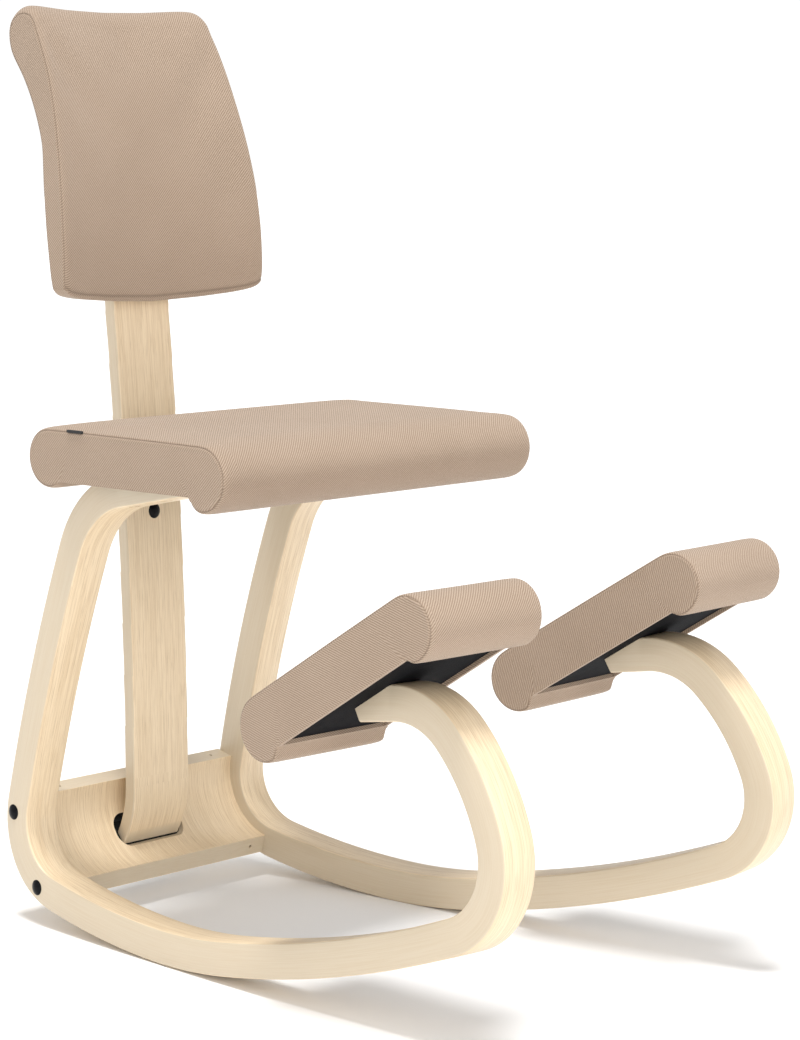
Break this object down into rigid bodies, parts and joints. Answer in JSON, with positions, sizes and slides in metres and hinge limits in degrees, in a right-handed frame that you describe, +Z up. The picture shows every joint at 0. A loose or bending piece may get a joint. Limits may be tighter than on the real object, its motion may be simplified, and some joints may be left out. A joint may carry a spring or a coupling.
{
  "type": "kneeling chair",
  "caption": "Rocking kneeling chair: bent wood runners carry a padded seat, sloped knee pads and an upright post with a padded backrest.",
  "frame": {"origin": "centre of the bounding box's footprint, on the floor under the rockers", "axes": "+Z up, the chair's front (knee pads) faces -Y, +X is the sitter's left"},
  "size_m": [0.502, 0.7752, 0.9344],
  "materials": {
    "wood_bent": "clear satin lacquer on pale ash",
    "plywood": "raw plywood",
    "upholstery": "beige twill weave",
    "dark_panel": "matt charcoal",
    "black_cap": "glossy black",
    "black_rubber": "matt black",
    "black_steel": "black powder coat",
    "zinc_steel": "zinc plated",
    "tag_tape": "black woven tape"
  },
  "bodies": {
    "chair": {"left_runner": "wood_bent", "right_runner": "wood_bent", "rear_cross_piece": "wood_bent", "back_post": "wood_bent", "seat_board": "plywood", "left_knee_board": "plywood", "right_knee_board": "plywood", "seat_cushion": "upholstery", "left_knee_cushion": "upholstery", "right_knee_cushion": "upholstery", "backrest_cushion": "upholstery", "backrest_board": "upholstery", "seat_base_panel": "dark_panel", "left_knee_base_panel": "dark_panel", "right_knee_base_panel": "dark_panel", "cross_piece_bolt_caps": "black_cap", "post_bolt_cap": "black_cap", "post_foot_bush": "black_rubber", "post_foot_strap": "black_steel", "post_bracket": "black_steel", "post_foot_screws": "black_steel", "cross_piece_bolts": "zinc_steel", "cross_piece_inserts": "zinc_steel", "post_bolt": "zinc_steel", "post_bolt_nut": "zinc_steel", "post_bracket_screws": "zinc_steel", "seat_bolts": "zinc_steel", "seat_tee_nuts": "zinc_steel", "left_knee_bolts": "zinc_steel", "right_knee_bolts": "zinc_steel", "left_knee_tee_nuts": "zinc_steel", "right_knee_tee_nuts": "zinc_steel", "backrest_screws": "zinc_steel", "seat_tag": "tag_tape"}
  },
  "joints": []
}
